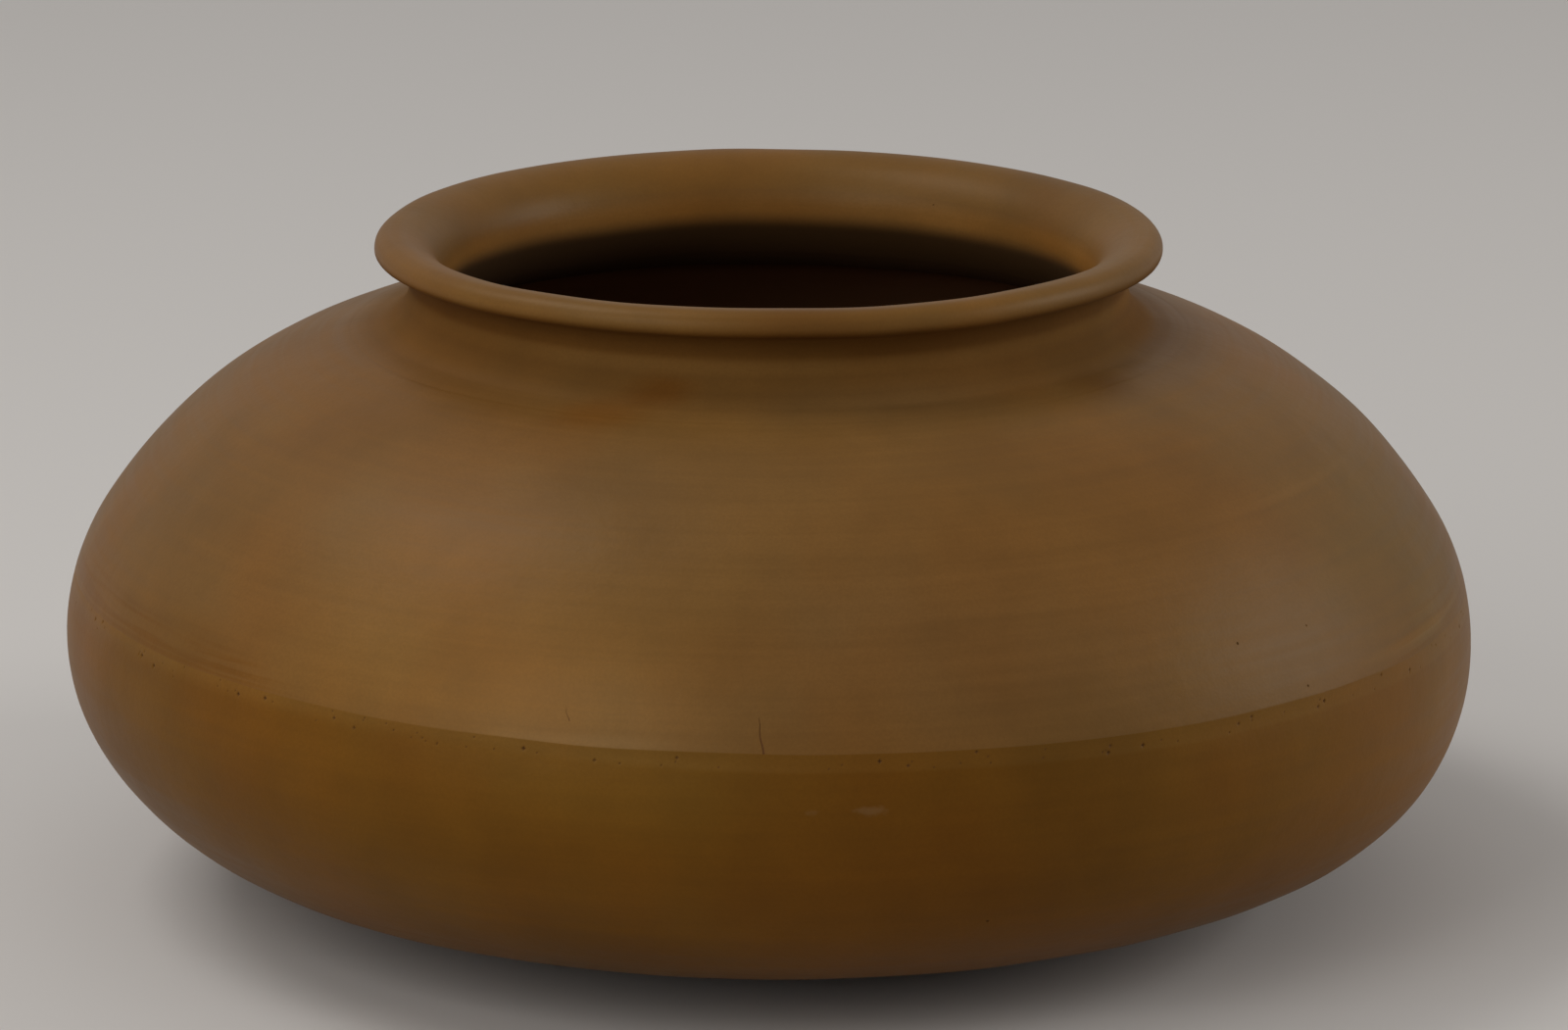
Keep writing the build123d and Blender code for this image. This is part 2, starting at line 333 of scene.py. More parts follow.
class Pen:
    """Draws the outline of a wall section in edit mode, from vertex to vertex, and turns it."""

    merge_distance = 2e-6

    def __init__(self, name, start):
        bpy.ops.object.select_all(action="DESELECT")
        bpy.ops.mesh.primitive_plane_add(size=0.01)
        self.piece = bpy.context.object
        self.piece.name = name
        self.piece.data.name = name
        self.place = Vector(start)
        bpy.ops.object.mode_set(mode="EDIT")
        bpy.ops.mesh.select_mode(type="VERT")
        bpy.ops.mesh.select_all(action="SELECT")
        bpy.ops.mesh.merge(type="CENTER")
        bpy.ops.transform.translate(value=(self.place.x, 0, self.place.y))

    def line(self, *ends, step=1.0):
        """Runs straight from point to point, in equal steps of about one length."""
        for end in map(Vector, ends):
            steps = max(1, round((end - self.place).length / step))
            move = (end - self.place) / steps
            for _ in range(steps):
                bpy.ops.mesh.extrude_region_move(TRANSFORM_OT_translate={"value": (move.x, 0, move.y)})
            self.place = end

    def arc(self, centre, end, step):
        """Sweeps round a centre to a point, the short way, in equal steps of about one length."""
        end = Vector(end)
        start_arm = self.place - centre
        end_arm = end - centre
        sweep = atan2(start_arm.cross(end_arm), start_arm.dot(end_arm))
        steps = max(1, round(abs(sweep) * start_arm.length / step))
        bpy.ops.mesh.spin(steps=steps, angle=sweep, center=(centre.x, 0, centre.y), axis=(0, 1, 0))
        self.place = end

    def merge(self):
        """Merges the vertices that lie on one another."""
        bpy.ops.mesh.select_all(action="SELECT")
        bpy.ops.mesh.remove_doubles(threshold=self.merge_distance)

    def turn(self, clay, segments=480):
        """Turns the outline once about the pot's axis, closes the skin and gives it its clay."""
        self.merge()
        bpy.ops.object.mode_set(mode="OBJECT")
        wheel = self.piece.modifiers.new("wheel", "SCREW")
        wheel.steps = segments
        wheel.render_steps = segments
        bpy.ops.object.modifier_apply(modifier=wheel.name)
        bpy.ops.object.mode_set(mode="EDIT")
        self.merge()
        bpy.ops.mesh.normals_make_consistent(inside=False)
        bpy.ops.object.mode_set(mode="OBJECT")
        self.piece.data.materials.append(clay)
        return self.piece


def ease(value, none, full):
    """A smooth step from 0 at none to 1 at full."""
    part = min(1.0, max(0.0, (value - none) / (full - none)))
    return part * part * (3 - 2 * part)


# How far from the middle of the bowl or shoulder its fullness ends, and is whole
FULLNESS = (0.030, 0.006)


def outward(place):
    """The level way from the pot's axis to a place."""
    return Vector((place.x, place.y, 0)).normalized()


def hand_offset(place, pot):
    """How far the maker's hand moved a point of the true turned pot."""
    hand = pot.hand
    belly = pot.belly_height
    seam = pot.groove_top.y
    shoulder = (pot.course_point.y + pot.collar_outer.y) / 2

    # The wall leans, its shoulder is full, the rim is out of level and the bowl sits aside
    lift = -place.x * tan(hand.body_tilt) * ease(place.z, belly / 2, seam)
    lift += hand.shoulder_rise * ease(abs(place.z - shoulder), *FULLNESS)
    rim = ease(place.z, pot.throat_high, pot.rim_height)
    lift += hand.rim_rise * ease(place.y, none=-0.05, full=0.09) * rim
    lift -= hand.rim_dip * min(1.0, (place.x / pot.lip_radius) ** 2) * rim
    shift = hand.bowl_shift * ease(place.z, belly, belly / 4)

    # The seam runs out of level, along the wall
    near = ease(abs(place.z - seam), none=0.045, full=0.0)
    slide = -place.x * tan(hand.seam_tilt - hand.body_tilt) * near
    slope = (place.z - belly) / pot.body.belly_turn
    swell = hand.bowl_swell * ease(abs(place.z - belly * 2 / 3), *FULLNESS)
    return outward(place) * (swell - slide * slope) + Vector((shift, 0, lift + slide))


def rubbed(place, hand):
    """How far the seam is rubbed down at a place: not in front, most at the sides and the back."""
    front = radians(8)
    ahead = (place.x * sin(front) - place.y * cos(front)) / place.xy.length
    return hand.seam_rub * ease(ahead, none=0.77, full=0.45)


def rub_seam(piece, pot):
    """Rubs the proud edge at the seam down toward the belly's round."""
    for vertex in piece.data.vertices:
        arm = Vector((vertex.co.xy.length, vertex.co.z)) - pot.turn_centre
        proud = arm.length - pot.body.belly_turn
        if proud > 0 and vertex.co.z < pot.shoulder_start.y:
            drop = arm.normalized() * (proud * rubbed(vertex.co, pot.hand))
            vertex.co -= outward(vertex.co) * drop.x + Vector((0, 0, drop.y))


def shape_by_hand(piece, pot):
    """Takes a turned piece out of true with a shaping cage and soft lumps."""
    height = pot.rim_height
    width = cad_box[1][0] - cad_box[0][0]
    bpy.ops.object.select_all(action="DESELECT")
    bpy.ops.object.add(type="LATTICE", location=(0, 0, height / 2))
    cage = bpy.context.object
    cage.data.points_u = 7
    cage.data.points_v = 7
    cage.data.points_w = 17
    cage.scale = (width, width, height)
    bpy.context.view_layer.update()
    for knot in cage.data.points:
        place = cage.matrix_world @ knot.co
        moved = place + hand_offset(place, pot)
        knot.co_deform = cage.matrix_world.inverted() @ moved

    bpy.context.view_layer.objects.active = piece
    piece.select_set(True)
    piece.modifiers.new("cage", "LATTICE").object = cage
    weights = piece.vertex_groups.new(name="off_the_floor")
    for vertex in piece.data.vertices:
        weights.add([vertex.index], ease(vertex.co.z, none=0.0, full=0.02), "REPLACE")
    for axis, stretch in (("X", 1.0), ("Y", 1.13), ("Z", 0.87)):
        name = "lumps_" + axis
        lumps = bpy.data.textures.get(name) or bpy.data.textures.new(name, "CLOUDS")
        lumps.noise_scale = pot.hand.lump_size * stretch
        lumps.noise_depth = 1
        push = piece.modifiers.new(name, "DISPLACE")
        push.texture = lumps
        push.texture_coords = "LOCAL"
        push.direction = axis
        push.strength = pot.hand.lump_depth
        push.vertex_group = weights.name
    for modifier in [m.name for m in piece.modifiers]:
        bpy.ops.object.modifier_apply(modifier=modifier)
    piece.vertex_groups.clear()
    bpy.data.objects.remove(cage)


def mark(piece, name, level):
    """Marks every vertex with a level that is worked out from it."""
    marks = piece.data.attributes.new(name, "FLOAT", "POINT")
    for vertex in piece.data.vertices:
        marks.data[vertex.index].value = level(vertex)


def mark_inside(piece, pot):
    """Marks the faces that look into the pot, more and more from the throat down."""
    mesh = piece.data
    middle = Vector((0, 0, pot.belly_height))
    marks = mesh.attributes.new("inside", "FLOAT", "CORNER")
    for face in mesh.polygons:
        if face.normal.dot(middle - face.center) > 0:
            for corner, vertex in zip(face.loop_indices, face.vertices):
                below = pot.throat_high - mesh.vertices[vertex].co.z
                marks.data[corner].value = ease(below, none=0.0006, full=0.0058)


def settle(piece, pot, node):
    """Shapes and smooths a turned piece and puts it in the place of its solid."""
    shape_by_hand(piece, pot)
    bpy.ops.object.shade_smooth_by_angle(angle=radians(40))
    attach(piece, "root")
    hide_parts(node)


class Nodes:
    """Adds nodes to the tree of a finish or of the world."""

    def __init__(self, owner):
        owner.use_nodes = True
        self.tree = owner.node_tree

    def feed(self, node, inputs):
        """Links a node's inputs to outputs, or sets them to values."""
        for key, value in inputs.items():
            if isinstance(value, NodeSocket):
                self.tree.links.new(value, node.inputs[key])
            else:
                node.inputs[key].default_value = value

    def node(self, kind, inputs=None, **settings):
        """Adds a node, with its settings and its inputs."""
        node = self.tree.nodes.new(kind)
        for key, value in settings.items():
            setattr(node, key, value)
        self.feed(node, inputs or {})
        return node

    def math(self, operation, first, second=0.0, third=0.0):
        """Works out one number from up to three."""
        node = self.node("ShaderNodeMath", {0: first, 1: second, 2: third}, operation=operation)
        return node.outputs[0]

    def seen(self):
        """1 for what the camera sees, straight or in a gloss or through glass, else 0."""
        rays = self.node("ShaderNodeLightPath").outputs
        seen = self.math("MAXIMUM", rays["Is Camera Ray"], rays["Is Glossy Ray"])
        return self.math("MAXIMUM", seen, rays["Is Transmission Ray"])


class Finish(Nodes):
    """Node tree of one finish, with its base colour built up in layers."""

    def __init__(self, name):
        self.material = bpy.data.materials.new(name)
        super().__init__(self.material)
        self.shader = self.tree.nodes["Principled BSDF"]
        self.place = self.node("ShaderNodeTexCoord").outputs["Object"]
        self.base = None

    def attribute(self, name):
        """A number that the mesh carries, 0 where it has none."""
        return self.node("ShaderNodeAttribute", attribute_name=name).outputs["Fac"]

    def vector(self, operation, first, second=(0, 0, 0)):
        """Works out one vector from two, or the length of one."""
        node = self.node("ShaderNodeVectorMath", {0: first, 1: second}, operation=operation)
        return node.outputs["Value" if operation == "LENGTH" else "Vector"]

    def noise(self, place, scale, detail, roughness=0.5):
        """Cloudy noise from 0 to 1."""
        inputs = {"Vector": place, "Scale": scale, "Detail": detail, "Roughness": roughness}
        return self.node("ShaderNodeTexNoise", inputs).outputs[0]

    def spread(self, value, low, high, to_low, to_high):
        """Maps a number from one range to another, smoothly."""
        inputs = {0: value, 1: low, 2: high, 3: to_low, 4: to_high}
        return self.node("ShaderNodeMapRange", inputs, interpolation_type="SMOOTHSTEP").outputs[0]

    def fade(self, value, none, full):
        """A smooth step from 0 at none to 1 at full."""
        return self.spread(value, none, full, 0, 1)

    def mix(self, factor, first, second, blend="MIX"):
        """Mixes two colours."""
        inputs = {0: factor, 6: first, 7: second}
        return self.node("ShaderNodeMix", inputs, data_type="RGBA", blend_type=blend).outputs[2]

    def cover(self, factor, tint, blend="MIX"):
        """Mixes a colour into the base colour."""
        self.base = self.mix(factor, self.base, tint, blend)
        self.feed(self.shader, {"Base Color": self.base})

    def tinge(self, factor, change):
        """Multiplies the base colour by a change."""
        self.cover(factor, rgba(change), "MULTIPLY")

    def spot(self, centre, size, edge):
        """A soft round from 1 at a centre to 0 at its half sizes, its edge more or less ragged."""
        away = self.vector("DIVIDE", self.vector("SUBTRACT", self.place, centre), size)
        ragged = self.math("SUBTRACT", self.noise(self.place, scale=2.5 / max(size), detail=3.0), 0.5)
        reach = self.math("MULTIPLY_ADD", ragged, edge, self.vector("LENGTH", away))
        return self.fade(reach, none=1.0, full=0.1)

    def bump(self, height, distance, normal=None):
        """Raises the surface by a height map."""
        inputs = {"Height": height, "Distance": distance, "Strength": 1.0}
        if normal is not None:
            inputs["Normal"] = normal
        return self.node("ShaderNodeBump", inputs).outputs[0]


def rgba(tint, strength=1.0):
    """A colour, made lighter or darker, with full alpha."""
    return (*[part * strength for part in tint], 1.0)


def burnished_clay(name, tint, clay, lean, tones_and_painted_light, polish=1.0, pits=True):
    """Burnished clay with level strokes.

    The lean is -1 where the wall closes in upward, else 1. Patches of tone, painted light and
    painted shade are each a centre, its half sizes and what it multiplies the colour by. The
    polish is a share of the sheen.
    """
    finish = Finish(name)
    radius = finish.vector("LENGTH", finish.vector("MULTIPLY", finish.place, (1, 1, 0)))
    x, y, height = finish.node("ShaderNodeSeparateXYZ", {0: finish.place}).outputs
    climb = finish.math("MULTIPLY_ADD", radius, lean, height)
    path = finish.node("ShaderNodeCombineXYZ", {0: x, 1: y, 2: climb}).outputs[0]
    path = finish.vector("MULTIPLY", path, (9.0, 9.0, 260.0))
    strokes = finish.noise(path, scale=1.0, detail=3.0, roughness=0.6)
    haze = finish.noise(finish.place, scale=16.0, detail=3.0)
    mottle = finish.noise(finish.place, scale=70.0, detail=4.0, roughness=0.6)
    grain = finish.noise(finish.place, scale=1500.0, detail=2.0)
    warmth = finish.noise(finish.place, scale=19.0, detail=2.0)

    # Colour: hazed by the fire, streaked by the burnishing stone, with fine grain
    tone = finish.math("MULTIPLY_ADD", haze, 0.5, finish.math("MULTIPLY", mottle, 0.25))
    tone = finish.math("MULTIPLY_ADD", strokes, 0.25, tone)
    finish.base = finish.mix(finish.fade(tone, none=0.3, full=0.7), rgba(tint, 0.84), rgba(tint, 1.16))
    finish.cover(finish.spread(grain, 0.35, 0.65, 0, 0.18), rgba(tint, 0.72))
    warm = finish.fade(warmth, none=0.35, full=0.65)
    hue = finish.mix(warm, rgba((0.98, 1.02, 1.10)), rgba((1.03, 0.98, 0.90)))
    finish.cover(1.0, hue, "MULTIPLY")
    for centre, size, change in tones_and_painted_light:
        finish.tinge(finish.spot(centre, size, edge=0.4), change)

    # Painted shade close under the lip and round the neck's foot, and painted light inside the mouth on
    # the lower flare and the throat
    outside = finish.fade(radius, none=0.0810, full=0.0835)
    hollow = finish.math("MULTIPLY", outside, finish.fade(height, none=0.1545, full=0.1520))
    under = finish.math("MULTIPLY", hollow, finish.fade(height, none=0.1440, full=0.1462))
    finish.tinge(under, (0.72, 0.64, 0.48))
    hollow = finish.math("MULTIPLY", hollow, finish.fade(height, none=0.1335, full=0.1380))
    foot = finish.math("MULTIPLY", hollow, finish.fade(height, none=0.1432, full=0.1405))
    finish.tinge(foot, (0.87, 0.84, 0.78))
    within = finish.math("SUBTRACT", 1.0, outside)
    painted_throat_light = finish.math("MULTIPLY", within, finish.fade(height, none=0.1505, full=0.1455))
    finish.tinge(painted_throat_light, (1.50, 1.45, 1.45))

    # Smeared clay beside the rubbed seam
    wipes = finish.spread(finish.noise(path, scale=1.9, detail=2.0), 0.35, 0.65, 0.3, 1.5)
    wiped = finish.math("MULTIPLY", finish.attribute("smear"), wipes)
    finish.tinge(finish.fade(wiped, none=0.2, full=0.8), (0.93, 0.84, 0.50))

    # Bare clay inside the pot, wiped and not burnished, with painted shade under the throat
    inside = finish.attribute("inside")
    bare = finish.mix(haze, rgba(clay.inside_colour, 0.75), rgba(clay.inside_colour, 1.25))
    bare = finish.mix(finish.fade(height, none=0.120, full=0.132), bare, rgba(clay.painted_throat_shade_colour))
    finish.cover(inside, bare)

    # Strokes, mottling and grain are felt as well as seen
    relief = finish.bump(strokes, distance=0.00002)
    relief = finish.bump(mottle, distance=0.0002, normal=relief)
    relief = finish.bump(grain, distance=0.00002, normal=relief)

    # Sparse open pits in the clay, besides those that are pressed into the seam
    pit = finish.attribute("pit")
    if pits:
        cells = finish.node("ShaderNodeTexVoronoi", {"Vector": finish.place, "Scale": 125.0}).outputs
        chance = finish.node("ShaderNodeSeparateColor", {0: cells["Color"]}).outputs[0]
        chosen = finish.math("GREATER_THAN", chance, 0.985)
        dip = finish.fade(cells["Distance"], none=0.05, full=0.02)
        open_pit = finish.math("MULTIPLY", dip, chosen)
        sunk = finish.math("MULTIPLY", open_pit, -1.0)
        relief = finish.bump(sunk, distance=0.0005, normal=relief)
        pit = finish.math("MAXIMUM", pit, open_pit)
    # The pits are real dents, and their dark colour is painted shade
    finish.cover(pit, rgba(clay.pit_shade_colour))

    # Strokes vary the gloss, and bare clay, pits and the unburnished hollow round the neck are dull
    gloss = finish.spread(strokes, 0.3, 0.7, clay.burnish - 0.02, clay.burnish + 0.03)
    dull = finish.math("MAXIMUM", inside, finish.math("MAXIMUM", pit, hollow))
    inputs = {
        "Roughness": finish.math("MULTIPLY_ADD", dull, 0.45, gloss),
        "Specular IOR Level": clay.sheen * polish,
        "Specular Tint": rgba(clay.sheen_colour),
        "Normal": relief,
    }
    finish.feed(finish.shader, inputs)
    return finish


# Painted shade inside the mouth at the right, over the neck and the lip
FLARE_PAINTED_SHADE = ((0.062, 0.05, 0.15), (0.036, 0.042, 0.022), (0.86, 0.84, 0.8))
# Patches on the walls: painted highlights at the front left, dull at the front, brown at the left side,
# and brown painted shade over the sheen at the right
WALL_TONES_AND_PAINTED_LIGHT = (
    ((-0.062, -0.142, 0.09), (0.075, 0.07, 0.04), (1.28, 1.26, 1.05)),
    ((-0.036, -0.157, 0.08), (0.05, 0.04, 0.022), (1.12, 1.2, 1.45)),
    ((0.03, -0.145, 0.096), (0.055, 0.05, 0.035), (0.92, 0.95, 1.16)),
    ((0.112, -0.118, 0.083), (0.045, 0.045, 0.018), (0.93, 0.9, 0.7)),
    ((0.145, -0.055, 0.093), (0.045, 0.075, 0.04), (1.01, 1.09, 0.95)),
    ((-0.135, -0.088, 0.081), (0.035, 0.045, 0.012), (0.97, 0.92, 0.7)),
    # Painted highlight along the edge above the seam at the front left, and a pale streak above it at the
    # right
    ((-0.039, -0.158, 0.0775), (0.035, 0.02, 0.0024), (1.1, 1.16, 1.38)),
    ((0.147, -0.064, 0.0775), (0.026, 0.048, 0.002), (1.24, 1.28, 1.3)),
    # Faint line where the two wall courses meet at the right
    ((0.118, -0.068, 0.112), (0.04, 0.05, 0.0012), (1.08, 1.09, 1.14)),
    # Round the neck: pale at the front right, painted shade in the hollow at the right, and three brown
    # blotches
    ((0.035, -0.088, 0.1345), (0.055, 0.035, 0.008), (1.02, 1.1, 1.4)),
    ((0.066, -0.052, 0.1425), (0.03, 0.035, 0.01), (0.9, 0.86, 0.75)),
    ((-0.0245, -0.084, 0.138), (0.012, 0.008, 0.006), (0.93, 0.78, 0.5)),
    ((-0.037, -0.089, 0.134), (0.018, 0.012, 0.007), (0.97, 0.86, 0.66)),
    ((0.076, -0.061, 0.134), (0.014, 0.012, 0.007), (0.9, 0.84, 0.72)),
    FLARE_PAINTED_SHADE,
)
# Patches on the bowl: dark at the front right, and painted highlights at the front left and on the right
# side
BOWL_TONES_AND_PAINTED_LIGHT = (
    ((0.046, -0.155, 0.056), (0.08, 0.06, 0.036), (0.8, 0.76, 0.64)),
    ((-0.036, -0.161, 0.072), (0.055, 0.04, 0.022), (1.14, 1.22, 1.4)),
    ((0.146, -0.066, 0.05), (0.06, 0.08, 0.045), (1.16, 1.2, 1.06)),
)
# Patches on the lip: dark in front, and painted shade inside its flare at the right
LIP_TONES_AND_PAINTED_SHADE = (
    ((0.01, -0.09, 0.1545), (0.03, 0.03, 0.012), (0.86, 0.77, 0.66)),
    FLARE_PAINTED_SHADE,
)


def wall_clay(clay):
    """Burnished clay of the walls and the neck, with a painted highlight at the front left."""
    name = "burnished_wall"
    made = bpy.data.materials.get(name)
    return made or burnished_clay(name, clay.wall_colour, clay, -1.0, WALL_TONES_AND_PAINTED_LIGHT).material


def lip_clay(clay):
    """Burnished clay of the lip."""
    return burnished_clay("burnished_lip", clay.lip_colour, clay, -1.0, LIP_TONES_AND_PAINTED_SHADE, pits=False).material


def bowl_clay(clay):
    """Burnished clay of the bowl, darkest at the front right, with two dusty scuffs."""
    finish = burnished_clay("burnished_bowl", clay.bowl_colour, clay, 1.0, BOWL_TONES_AND_PAINTED_LIGHT, polish=0.75)
    for centre, size, strength in (
        ((0.0222, -0.1637, 0.0637), (0.0052, 0.004, 0.0015), 0.15),
        ((0.0094, -0.1649, 0.0636), (0.0028, 0.003, 0.0009), 0.08),
    ):
        dusty = finish.math("MULTIPLY", finish.spot(centre, size, edge=1.8), strength)
        finish.cover(dusty, rgba(clay.dust_colour))
    return finish.material


def seam_clay(clay):
    """Burnished clay of the seam coil, the bowl's at its foot and lighter above, with painted shade in its
    pits.
    """
    finish = burnished_clay("pitted_seam", clay.bowl_colour, clay, 1.0, BOWL_TONES_AND_PAINTED_LIGHT, polish=0.75)
    lighter = [seam / bowl for seam, bowl in zip(clay.seam_colour, clay.bowl_colour)]
    finish.tinge(finish.attribute("rise"), lighter)
    return finish.material


def crack_clay(clay):
    """Torn clay inside a drying crack."""
    finish = Finish("torn_crack")
    crumbs = finish.noise(finish.place, scale=2500.0, detail=3.0)
    tone = finish.mix(crumbs, rgba(clay.pit_shade_colour, 1.2), rgba(clay.pit_shade_colour, 2.2))
    inputs = {"Base Color": tone, "Roughness": 0.9, "Normal": finish.bump(crumbs, distance=0.00005)}
    finish.feed(finish.shader, inputs)
    return finish.material


class OLLA_OT_lower_bowl(Operator):
    """Model the pressed bowl, from the base up to the belly seam"""

    bl_idname = "olla.lower_bowl"
    bl_label = "Lower bowl"

    def execute(self, context):
        pot = Pot(context.scene)
        pen = Pen("pressed_bowl", (0, 0))
        pen.line((pot.body.base_flat, 0), step=0.006)
        pen.arc(pot.under_centre, pot.bowl_turn, step=0.003)
        pen.arc(pot.turn_centre, pot.bowl_rim, step=0.0008)
        pen.line(pot.root_bottom, pot.root_middle, pot.seam_inner)
        pen.arc(pot.turn_centre, pot.inner_bowl_turn, step=0.004)
        pen.arc(pot.under_centre, (pot.body.base_flat, pot.body.wall), step=0.005)
        pen.line((0, pot.body.wall), step=0.008)
        piece = pen.turn(bowl_clay(pot.clay))
        mark_inside(piece, pot)
        settle(piece, pot, "lower_bowl")
        return {"FINISHED"}


class OLLA_OT_seam_coil(Operator):
    """Model the luting coil in the belly seam, with its pits"""

    bl_idname = "olla.seam_coil"
    bl_label = "Seam coil"

    def execute(self, context):
        pot = Pot(context.scene)
        pen = Pen("luting_coil", pot.bowl_rim)
        pen.arc(pot.sweep_centre, pot.coil_top, step=0.0003)
        pen.arc(pot.edge_round, pot.seam_joint, step=0.0001)
        pen.line(pot.root_top, pot.root_bottom, pot.bowl_rim)
        piece = pen.turn(seam_clay(pot.clay), segments=3600)
        rub_seam(piece, pot)
        self.mark_rise(piece, pot)
        self.press_pits(piece, pot)
        settle(piece, pot, "seam_coil")
        return {"FINISHED"}

    def mark_rise(self, piece, pot):
        """Marks how light the coil is: a clear band at the right, fading into the bowl at the left."""
        foot = pot.bowl_rim.y
        tall = pot.coil_top.y - foot

        def rise(vertex):
            clear = ease(vertex.co.x, none=-0.07, full=0.0)
            fade = tall * (1 - 0.75 * clear)
            light = 1 - 0.35 * clear
            return light * ease(vertex.co.z, foot, foot + fade)

        mark(piece, "rise", rise)

    def press_pits(self, piece, pot):
        """Pushes pits of several sizes into the coil and marks how deep each vertex lies."""
        hand = pot.hand
        chance = Random(11)
        mesh = piece.data
        smooth = [v.co.copy() for v in mesh.vertices]
        places = KDTree(len(smooth))
        for index, place in enumerate(smooth):
            places.insert(place, index)
        places.balance()
        bpy.ops.object.mode_set(mode="EDIT")
        for _ in range(hand.pit_count):
            bearing = chance.uniform(0, 2 * pi)
            point = pot.bowl_rim.lerp(pot.coil_top, chance.uniform(0.25, 0.95))
            size = chance.choice((0.45, 0.5, 0.55, 0.6, 0.7, 0.8, 1.0))
            way = Vector((sin(bearing), -cos(bearing), 0))
            _, nearest, _ = places.find(way * point.x + Vector((0, 0, point.y)))
            bpy.ops.mesh.select_all(action="DESELECT")
            clay = bmesh.from_edit_mesh(mesh)
            clay.verts.ensure_lookup_table()
            clay.verts[nearest].select = True
            bpy.ops.transform.translate(
                value=-way * hand.pit_depth * size,
                use_proportional_edit=True,
                proportional_edit_falloff="SPHERE",
                proportional_size=hand.pit_radius * size,
            )
        bpy.ops.object.mode_set(mode="OBJECT")
        none = 0.1 * hand.pit_depth
        full = 0.5 * hand.pit_depth
        mark(piece, "pit", lambda vertex: ease((vertex.co - smooth[vertex.index]).length, none, full))


class OLLA_OT_belly_course(Operator):
    """Model the first wall course, with the drying crack above the seam"""

    bl_idname = "olla.belly_course"
    bl_label = "Belly course"

    def execute(self, context):
        pot = Pot(context.scene)
        pen = Pen("belly_wall", pot.seam_joint)
        pen.arc(pot.edge_round, pot.brow_low, step=0.0001)
        pen.arc(pot.brow_centre, pot.shoulder_start, step=0.0008)
        pen.arc(pot.shoulder_centre, pot.course_point, step=0.0012)
        pen.line(pot.course_inner)
        pen.arc(pot.shoulder_centre, pot.inner_shoulder_start, step=0.004)
        pen.arc(pot.turn_centre, pot.seam_inner, step=0.003)
        pen.line(pot.root_middle, pot.root_top, pot.seam_joint)
        piece = pen.turn(wall_clay(pot.clay))
        torn = crack_clay(pot.clay)
        hand = pot.hand

        def smear(vertex):
            above = vertex.co.z - pot.seam_edge.y
            return rubbed(vertex.co, hand) * ease(above, none=0.013, full=0.0)

        self.crack(piece, pot, torn, hand.crack_bearing, rise=0.0, size=1.0)
        self.crack(piece, pot, torn, hand.hairline_bearing, hand.hairline_rise, size=0.4)
        mark_inside(piece, pot)
        mark(piece, "smear", smear)
        rub_seam(piece, pot)
        settle(piece, pot, "belly_course")
        return {"FINISHED"}

    def crack(self, piece, pot, torn, bearing, rise, size):
        """Cuts a crack that runs up the wall in a wavering line, closing toward its tip."""
        hand = pot.hand
        long = hand.crack_length * size
        deep = 2 * hand.crack_depth * size
        bpy.ops.object.select_all(action="DESELECT")
        bpy.ops.mesh.primitive_cube_add(size=long)
        wedge = bpy.context.object
        wedge.data.materials.append(torn)
        bpy.ops.object.mode_set(mode="EDIT")
        bpy.ops.transform.resize(value=(hand.crack_width * size / long, deep / long, 1))
        bpy.ops.mesh.select_mode(type="EDGE")
        bpy.ops.mesh.select_all(action="DESELECT")
        for edge in bmesh.from_edit_mesh(wedge.data).edges:
            low, high = edge.verts
            edge.select = abs(high.co.z - low.co.z) > long / 2
        bpy.ops.mesh.subdivide(number_cuts=5)
        bpy.ops.mesh.select_mode(type="VERT")
        digits = 7
        levels = sorted({round(v.co.z, digits) for v in bmesh.from_edit_mesh(wedge.data).verts})
        for level in levels:
            bpy.ops.mesh.select_all(action="DESELECT")
            for vertex in bmesh.from_edit_mesh(wedge.data).verts:
                vertex.select = round(vertex.co.z, digits) == level
            part = level / long + 0.5
            height = pot.seam_edge.y + rise + part * long - hand.crack_width / 2
            lean = radians(0.45) * part**0.7
            waver = radians(0.05) * sin(9 * part)
            way = bearing - lean + waver
            radius = pot.over_brow(height)
            closed = 1 - 0.85 * part
            bpy.ops.transform.resize(value=(closed, 1, 1), center_override=(0, 0, level))
            bpy.ops.transform.translate(value=(radius * sin(way), -radius * cos(way), height - level))
        bpy.ops.object.mode_set(mode="OBJECT")

        bpy.context.view_layer.objects.active = piece
        cut = piece.modifiers.new("crack", "BOOLEAN")
        cut.operation = "DIFFERENCE"
        cut.solver = "EXACT"
        cut.material_mode = "TRANSFER"
        cut.object = wedge
        bpy.ops.object.modifier_apply(modifier=cut.name)
        bpy.data.objects.remove(wedge)


class OLLA_OT_shoulder_course(Operator):
    """Model the second wall course, closing in to the mouth"""

    bl_idname = "olla.shoulder_course"
    bl_label = "Shoulder course"

    def execute(self, context):
        pot = Pot(context.scene)
        pen = Pen("shoulder_wall", pot.course_point)
        pen.arc(pot.shoulder_centre, pot.collar_outer, step=0.0012)
        pen.line(pot.collar_inner)
        pen.arc(pot.throat_centre, pot.throat_edge, step=0.002)
        pen.arc(pot.shoulder_centre, pot.course_inner, step=0.004)
        pen.line(pot.course_point)
        piece = pen.turn(wall_clay(pot.clay))
        mark_inside(piece, pot)
        settle(piece, pot, "shoulder_course")
        return {"FINISHED"}


